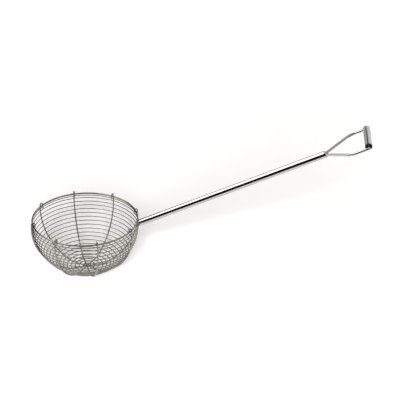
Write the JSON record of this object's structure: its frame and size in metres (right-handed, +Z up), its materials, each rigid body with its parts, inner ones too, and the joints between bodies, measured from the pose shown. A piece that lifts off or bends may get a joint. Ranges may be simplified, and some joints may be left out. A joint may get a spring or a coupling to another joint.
{
  "type": "vegetable ladle",
  "caption": "Round wire basket ladle with a hooked-rib bowl, a long raised tube handle and a D-shaped grip with a loose sleeve, for lifting vegetables out of water.",
  "frame": {"origin": "underside of the rib that runs right across under the basket's base, at the basket's axis", "axes": "+Z up along the basket's axis, +X from the basket's axis towards the handle"},
  "size_m": [0.75, 0.2444, 0.3809],
  "materials": {
    "drawn_wire": "drawn stainless wire, electropolished to a soft grey shine",
    "polished_tube": "stainless tube and rod, polished bright",
    "rolled_sheet": "rolled stainless sheet, satin along its length"
  },
  "bodies": {
    "ladle": {"rim_ring": "drawn_wire", "hoop_01": "drawn_wire", "hoop_02": "drawn_wire", "hoop_03": "drawn_wire", "hoop_04": "drawn_wire", "hoop_05": "drawn_wire", "hoop_06": "drawn_wire", "hoop_07": "drawn_wire", "hoop_08": "drawn_wire", "hoop_09": "drawn_wire", "hoop_10": "drawn_wire", "hoop_11": "drawn_wire", "hoop_12": "drawn_wire", "hoop_13": "drawn_wire", "hoop_14": "drawn_wire", "hoop_15": "drawn_wire", "hoop_16": "drawn_wire", "hoop_17": "drawn_wire", "hoop_18": "drawn_wire", "hoop_19": "drawn_wire", "hoop_20": "drawn_wire", "hoop_21": "drawn_wire", "cross_rib": "drawn_wire", "rib_1": "drawn_wire", "rib_2": "drawn_wire", "rib_4": "drawn_wire", "rib_5": "drawn_wire", "rib_6": "drawn_wire", "rib_8": "drawn_wire", "handle_nose": "polished_tube", "handle_tube": "polished_tube", "handle_cap": "polished_tube", "grip_fork": "polished_tube"},
    "grip": {"grip_sleeve": "rolled_sheet"}
  },
  "joints": [
    {"name": "sleeve_turn", "type": "hinge", "parent": "ladle", "child": "grip", "pos_m": [0.61984, 0, 0.37287], "axis": [0, 1, 0], "continuous": true}
  ]
}
